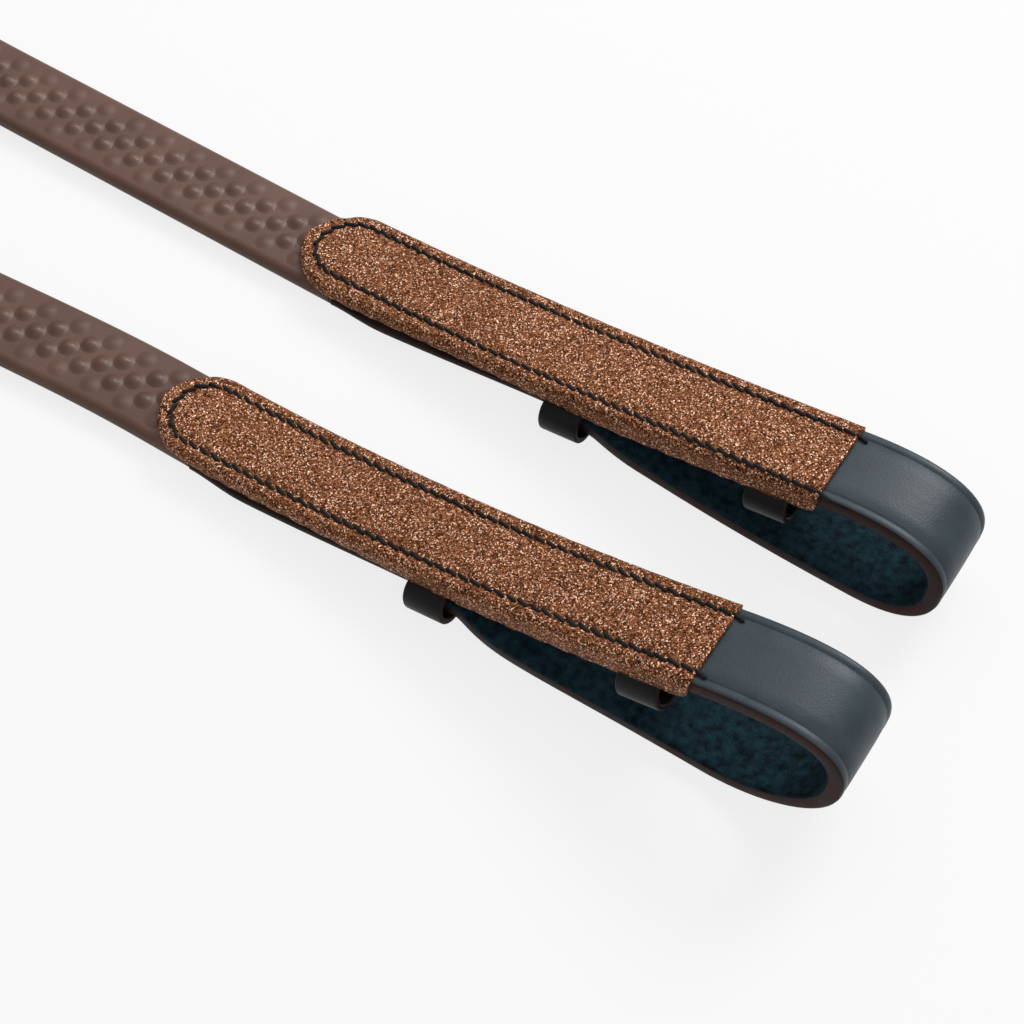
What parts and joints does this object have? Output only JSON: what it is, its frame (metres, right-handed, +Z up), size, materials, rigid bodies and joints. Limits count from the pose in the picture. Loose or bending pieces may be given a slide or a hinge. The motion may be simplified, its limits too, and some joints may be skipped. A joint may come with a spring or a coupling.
{
  "type": "leather riding reins",
  "caption": "Pair of riding reins with rubber grips, glitter-covered billet ends folded into bit loops with keepers, and the spare length rolled up behind with its centre buckle open.",
  "frame": {"origin": "middle of the whole object's footprint, on the resting surface", "axes": "+X along the reins towards the bit ends, +Y towards the left rein, +Z up"},
  "size_m": [0.5064, 0.1872, 0.0363],
  "materials": {
    "grip_rubber": "matt pimple rubber",
    "black_leather": "semi-gloss bridle leather",
    "brown_leather": "matt",
    "copper_glitter": "fine copper glitter",
    "thread": "waxed thread",
    "steel": "polished"
  },
  "bodies": {
    "straps": {"left_grip_rubber": "grip_rubber", "left_grip_core": "brown_leather", "left_hand_strap": "black_leather", "right_grip_rubber": "grip_rubber", "right_grip_core": "brown_leather", "right_hand_strap": "black_leather", "roll_tie": "black_leather"},
    "left_bit_end": {"left_billet": "black_leather", "left_overlay": "copper_glitter", "left_overlay_seam": "thread", "left_backing": "brown_leather", "left_front_keeper": "black_leather", "left_rear_keeper": "black_leather", "left_hook_stud": "steel"},
    "right_bit_end": {"right_billet": "black_leather", "right_overlay": "copper_glitter", "right_overlay_seam": "thread", "right_backing": "brown_leather", "right_front_keeper": "black_leather", "right_rear_keeper": "black_leather", "right_hook_stud": "steel"},
    "buckle_frame": {"buckle_frame": "steel"},
    "buckle_tongue": {"buckle_tongue": "steel"}
  },
  "joints": [
    {"name": "left_bit_end_lift", "type": "hinge", "parent": "straps", "child": "left_bit_end", "pos_m": [0.08152, 0.07991, 0.0065], "axis": [0, -1, 0], "range_deg": [0, 60]},
    {"name": "right_bit_end_lift", "type": "hinge", "parent": "straps", "child": "right_bit_end", "pos_m": [0.08222, 0.02671, 0.0065], "axis": [0, -1, 0], "range_deg": [0, 60]},
    {"name": "buckle_frame_turn", "type": "hinge", "parent": "straps", "child": "buckle_frame", "pos_m": [-0.15777, -0.02161, 0.0119], "axis": [0, 0, 1], "range_deg": [-35, 35]},
    {"name": "buckle_tongue_turn", "type": "hinge", "parent": "buckle_frame", "child": "buckle_tongue", "pos_m": [-0.15777, -0.02161, 0.0119], "axis": [0, 0, -1], "range_deg": [0, 90]}
  ]
}
